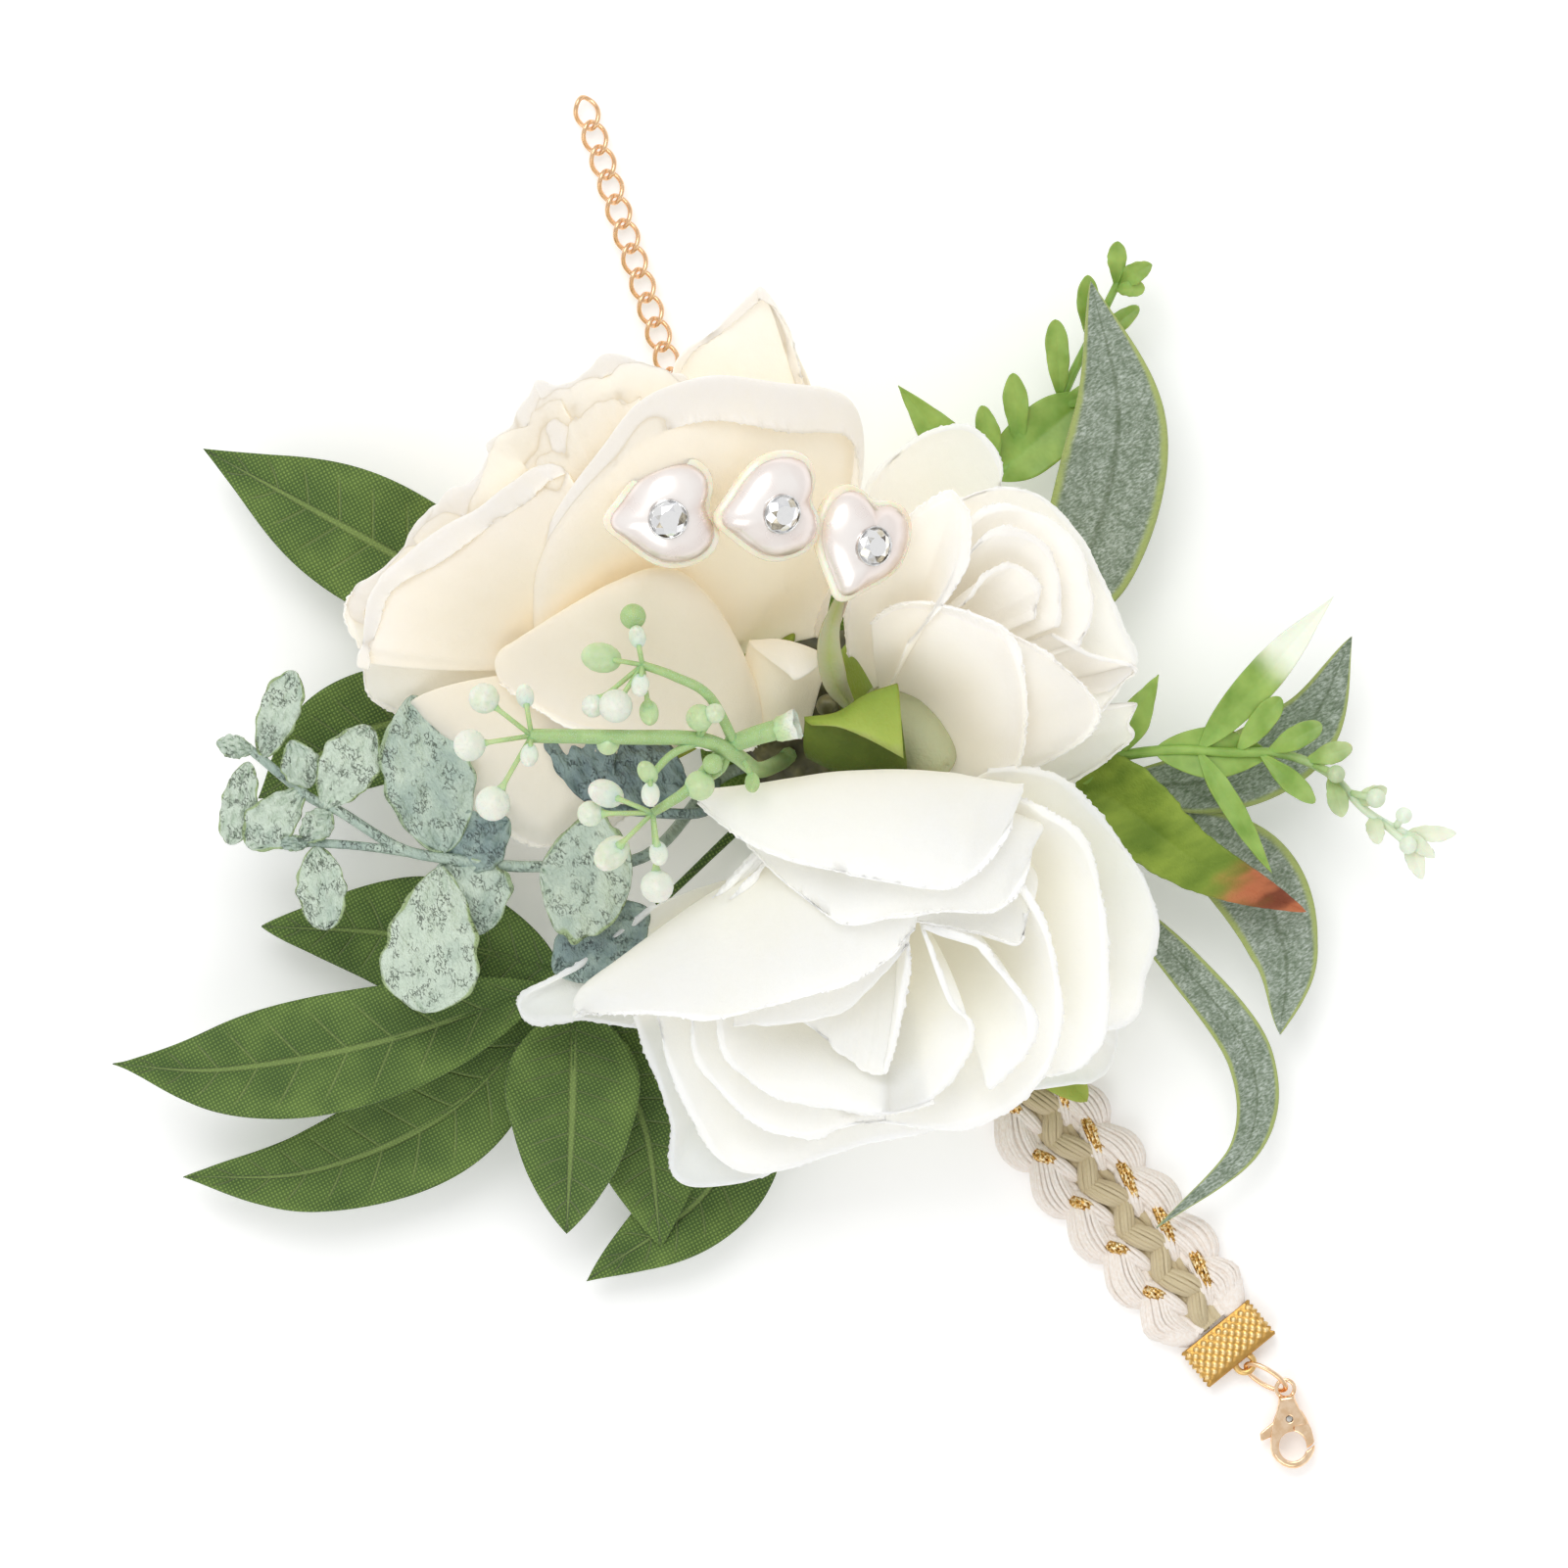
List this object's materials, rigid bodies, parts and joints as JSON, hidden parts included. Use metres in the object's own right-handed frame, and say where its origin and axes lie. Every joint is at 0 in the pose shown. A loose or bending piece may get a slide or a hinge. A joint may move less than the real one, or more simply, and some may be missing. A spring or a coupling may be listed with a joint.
{
  "type": "wrist corsage",
  "caption": "Wrist corsage with two fabric roses, a rosebud, leaf sprays, berries and pearl hearts on a braided band with a lobster clasp and extender chain.",
  "frame": {"origin": "middle of the band's flat underside below the flowers", "axes": "+X along the band towards the lobster clasp, +Y across the band, +Z away from the wrist"},
  "size_m": [0.2196, 0.1842, 0.0653],
  "materials": {
    "berry": "pale moulded berries with a fine glitter",
    "braid": "braided cotton and raffia yarn with gold thread",
    "calyx": "moulded calyx with a wrapped stalk",
    "cream_petal": "smooth stiffened petal fabric",
    "crystal": "cut, with a silvered back",
    "dusty": "dusty moulded leaves",
    "felt": "green felt",
    "fresh": "moulded, fading to white at the tips",
    "glue": "hardened glue over wound stems",
    "gold": "bright gold plating",
    "ivory_petal": "smooth stiffened petal fabric",
    "leaf": "woven leaf fabric with printed veins",
    "pearl": "pearlescent",
    "rose_gold": "polished rose-gold plating",
    "russet": "green sepal fabric with a brown tip",
    "sage": "flocked leaf fabric",
    "steel": "plain spring steel",
    "white_petal": "smooth stiffened petal fabric"
  },
  "bodies": {
    "flower_band": {"braided_band_middle": "braid", "base_pad": "felt", "glue_dome": "glue", "white_rose_calyx": "calyx", "white_rose_core": "white_petal", "white_rose_inner_petals": "white_petal", "white_rose_middle_petals": "white_petal", "white_rose_outer_petals": "white_petal", "cream_rose_calyx": "calyx", "cream_rose_core": "cream_petal", "cream_rose_inner_petals": "cream_petal", "cream_rose_middle_petals": "cream_petal", "cream_rose_outer_petals": "cream_petal", "rose_bud_calyx": "calyx", "rose_bud_inner_petals": "ivory_petal", "rose_bud_outer_petals": "ivory_petal", "pearl_heart_1": "pearl", "rhinestone_1": "crystal", "pearl_heart_2": "pearl", "rhinestone_2": "crystal", "pearl_heart_3": "pearl", "rhinestone_3": "crystal", "leaf_upper_left": "leaf", "leaf_left": "leaf", "leaf_lower_right": "leaf", "sage_leaf_upper": "sage", "sage_sprig_right": "sage", "russet_sepal": "russet", "leaf_sprig_stem": "leaf", "sprig_leaf_1": "leaf", "sprig_leaf_2": "leaf", "sprig_leaf_3": "leaf", "sprig_leaf_4": "leaf", "sprig_leaf_5": "leaf", "eucalyptus_spray": "dusty", "upper_spray": "fresh", "right_spray": "fresh", "berry_spray": "berry"},
    "band_clasp_inner": {"braided_band_clasp_inner": "braid"},
    "band_clasp_outer": {"braided_band_clasp_outer": "braid", "clasp_clamp": "gold"},
    "clasp_ring": {"clasp_jump_ring": "rose_gold"},
    "clasp": {"clasp_body": "rose_gold", "clasp_pin": "rose_gold", "clasp_spring": "steel"},
    "lever": {"clasp_lever": "rose_gold"},
    "band_chain": {"braided_band_chain_side": "braid", "chain_clamp": "gold"},
    "chain_ring": {"chain_jump_ring": "rose_gold"},
    "link_01": {"chain_link_01": "rose_gold"},
    "link_02": {"chain_link_02": "rose_gold"},
    "link_03": {"chain_link_03": "rose_gold"},
    "link_04": {"chain_link_04": "rose_gold"},
    "link_05": {"chain_link_05": "rose_gold"},
    "link_06": {"chain_link_06": "rose_gold"},
    "link_07": {"chain_link_07": "rose_gold"},
    "link_08": {"chain_link_08": "rose_gold"},
    "link_09": {"chain_link_09": "rose_gold"},
    "link_10": {"chain_link_10": "rose_gold"},
    "link_11": {"chain_link_11": "rose_gold"}
  },
  "joints": [
    {"name": "fold_clasp_inner", "type": "hinge", "parent": "flower_band", "child": "band_clasp_inner", "pos_m": [0.02815, 0, 0], "axis": [0, 1, 0], "range_deg": [0, 50]},
    {"name": "fold_clasp_outer", "type": "hinge", "parent": "band_clasp_inner", "child": "band_clasp_outer", "pos_m": [0.06214, 0.00038, 0], "axis": [-0.1007, 0.9949, 0], "range_deg": [0, 50]},
    {"name": "clasp_ring_swing", "type": "hinge", "parent": "band_clasp_outer", "child": "clasp_ring", "pos_m": [0.10667, 0.00892, 0.0017], "axis": [-0.196, 0.9806, 0], "range_deg": [-15, 45]},
    {"name": "clasp_turn", "type": "hinge", "parent": "clasp_ring", "child": "clasp", "pos_m": [0.1113, 0.01209, 0.0017], "axis": [0, 0, 1], "range_deg": [-30, 60]},
    {"name": "lever_hinge", "type": "hinge", "parent": "clasp", "child": "lever", "pos_m": [0.11532, 0.01057, 0.0017], "axis": [0, 0, 1], "range_deg": [-25, 0], "stiffness_Nm_per_rad": 0.02, "springref_deg": 8.59},
    {"name": "fold_chain", "type": "hinge", "parent": "flower_band", "child": "band_chain", "pos_m": [-0.02715, 0, 0], "axis": [0, -1, 0], "range_deg": [0, 50]},
    {"name": "chain_ring_swing", "type": "hinge", "parent": "band_chain", "child": "chain_ring", "pos_m": [-0.05339, 0.00188, 0.0017], "axis": [-0.1392, -0.9903, 0], "range_deg": [-15, 30]},
    {"name": "link_01_turn", "type": "hinge", "parent": "chain_ring", "child": "link_01", "pos_m": [-0.05688, 0.00253, 0.0017], "axis": [0, 0, 1], "range_deg": [-30, 30]},
    {"name": "link_02_swing", "type": "hinge", "parent": "link_01", "child": "link_02", "pos_m": [-0.06056, 0.00318, 0.0017], "axis": [-0.1736, -0.9848, 0], "range_deg": [-15, 30]},
    {"name": "link_03_turn", "type": "hinge", "parent": "link_02", "child": "link_03", "pos_m": [-0.06416, 0.00381, 0.0017], "axis": [0, 0, 1], "range_deg": [-30, 30]},
    {"name": "link_04_swing", "type": "hinge", "parent": "link_03", "child": "link_04", "pos_m": [-0.06777, 0.00445, 0.0017], "axis": [-0.1736, -0.9848, 0], "range_deg": [-15, 30]},
    {"name": "link_05_turn", "type": "hinge", "parent": "link_04", "child": "link_05", "pos_m": [-0.07137, 0.00508, 0.0017], "axis": [0, 0, 1], "range_deg": [-30, 30]},
    {"name": "link_06_swing", "type": "hinge", "parent": "link_05", "child": "link_06", "pos_m": [-0.07498, 0.00572, 0.0017], "axis": [-0.1736, -0.9848, 0], "range_deg": [-15, 30]},
    {"name": "link_07_turn", "type": "hinge", "parent": "link_06", "child": "link_07", "pos_m": [-0.07858, 0.00635, 0.0017], "axis": [0, 0, 1], "range_deg": [-30, 30]},
    {"name": "link_08_swing", "type": "hinge", "parent": "link_07", "child": "link_08", "pos_m": [-0.08218, 0.00699, 0.0017], "axis": [-0.1736, -0.9848, 0], "range_deg": [-15, 30]},
    {"name": "link_09_turn", "type": "hinge", "parent": "link_08", "child": "link_09", "pos_m": [-0.08579, 0.00762, 0.0017], "axis": [0, 0, 1], "range_deg": [-30, 30]},
    {"name": "link_10_swing", "type": "hinge", "parent": "link_09", "child": "link_10", "pos_m": [-0.08939, 0.00826, 0.0017], "axis": [-0.1736, -0.9848, 0], "range_deg": [-15, 30]},
    {"name": "link_11_turn", "type": "hinge", "parent": "link_10", "child": "link_11", "pos_m": [-0.093, 0.0089, 0.0017], "axis": [0, 0, 1], "range_deg": [-30, 30]}
  ]
}
